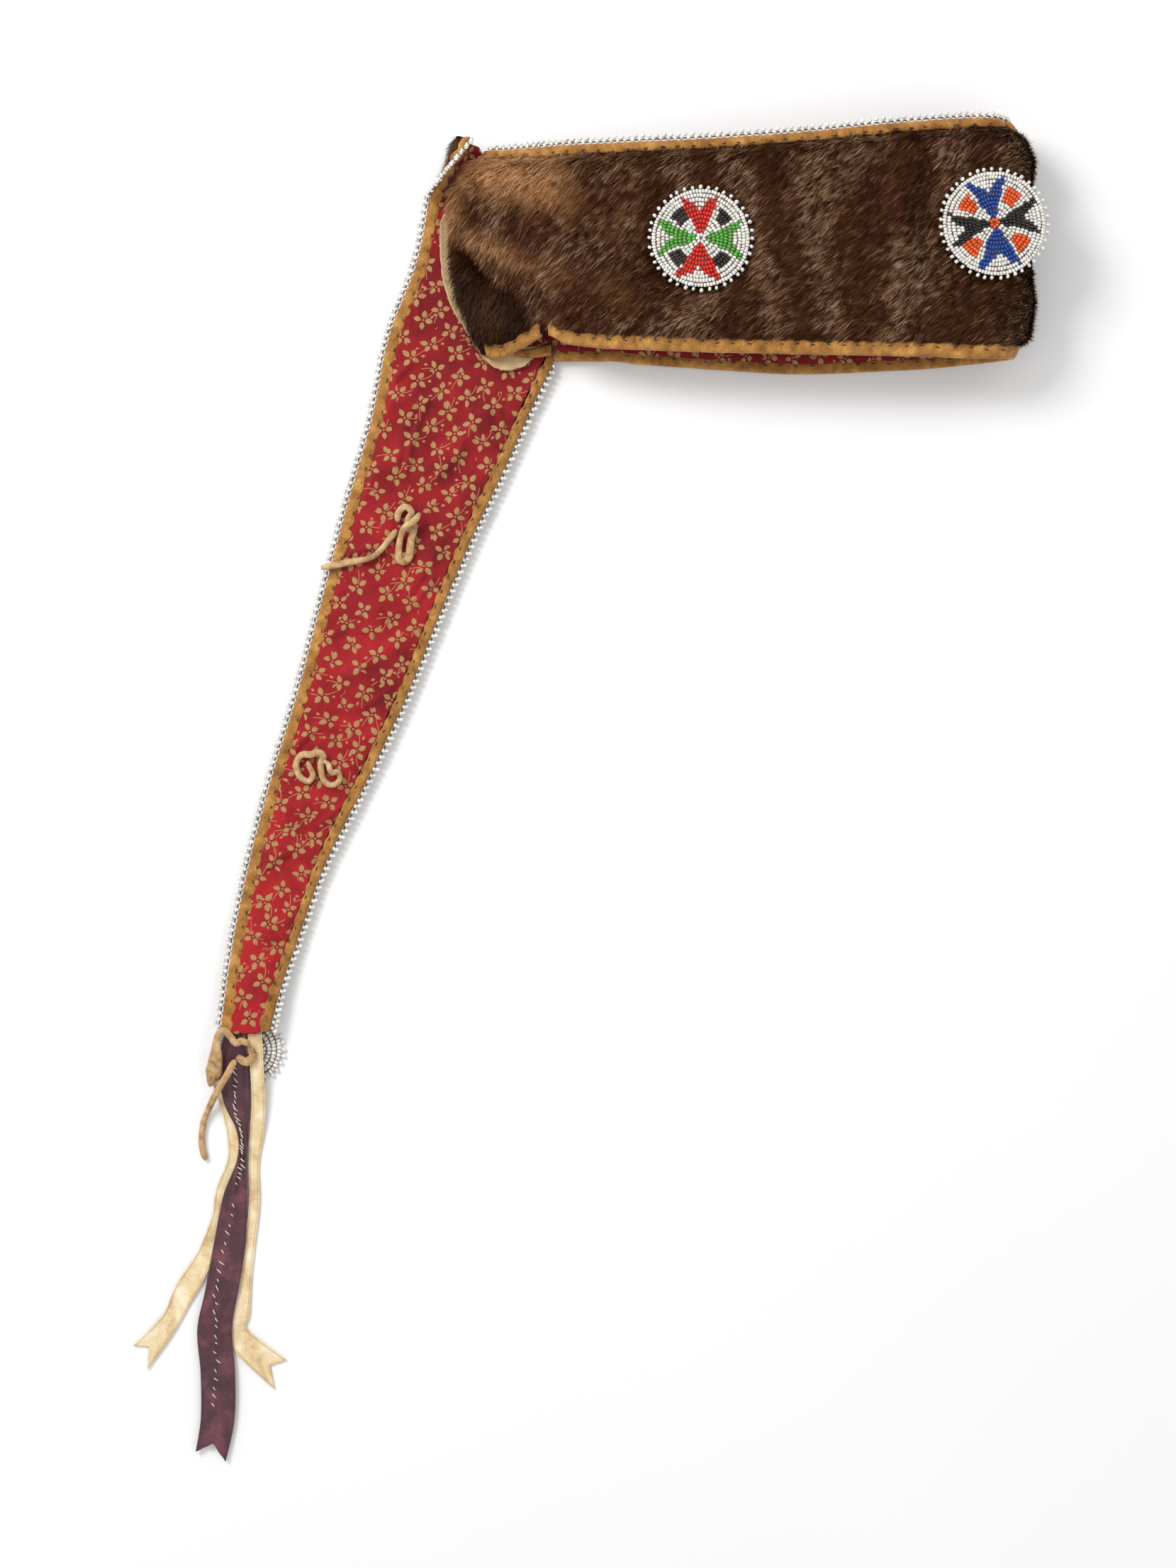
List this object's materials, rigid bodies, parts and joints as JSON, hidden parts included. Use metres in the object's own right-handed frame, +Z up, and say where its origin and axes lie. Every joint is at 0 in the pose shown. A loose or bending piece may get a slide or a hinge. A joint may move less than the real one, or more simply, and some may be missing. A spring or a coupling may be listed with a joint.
{
  "type": "fur turban",
  "caption": "Fur turban lying flat: folded fur band, long calico-lined trailer with beaded edges, beaded rosettes, buckskin ties and silk ribbons.",
  "frame": {"origin": "centre of the band's flat underside, on the surface that it lies on", "axes": "+X to the right along the band to its fold, +Y across the band towards its beaded edge, +Z up from the surface"},
  "size_m": [0.4447, 0.6569, 0.0449],
  "materials": {
    "fur": "dark brown fur, slanting guard hairs",
    "calico": "printed cotton, soft",
    "hide": "bare tanned hide",
    "binding": "napped ochre binding, puckered",
    "beads_white": "opaque glass seed beads",
    "beads_coloured": "opaque glass seed beads in several colours",
    "buckskin": "smoked buckskin, matte",
    "silk_purple": "ribbed silk ribbon, satin sheen",
    "silk_cream": "satin ribbon"
  },
  "bodies": {
    "root": {"band_fur": "fur", "band_lining": "calico", "hide_margin": "hide", "band_binding_bottom": "binding", "band_binding_end": "binding", "band_binding_root": "binding", "band_binding_top": "binding", "trailer_fur": "fur", "trailer_lining": "calico", "trailer_binding_left": "binding", "trailer_binding_right": "binding", "edge_beads_top": "beads_white", "edge_beads_left": "beads_white", "edge_beads_right": "beads_white", "rosette_left": "beads_coloured", "rosette_right": "beads_coloured", "rosette_tail": "beads_white", "thong_upper": "buckskin", "thong_upper_tail": "buckskin", "thong_middle": "buckskin", "thong_end": "buckskin", "thong_end_knot": "buckskin", "thong_end_tail": "buckskin", "ribbon_purple": "silk_purple", "ribbon_cream_left": "silk_cream", "ribbon_cream_right": "silk_cream"}
  },
  "joints": []
}
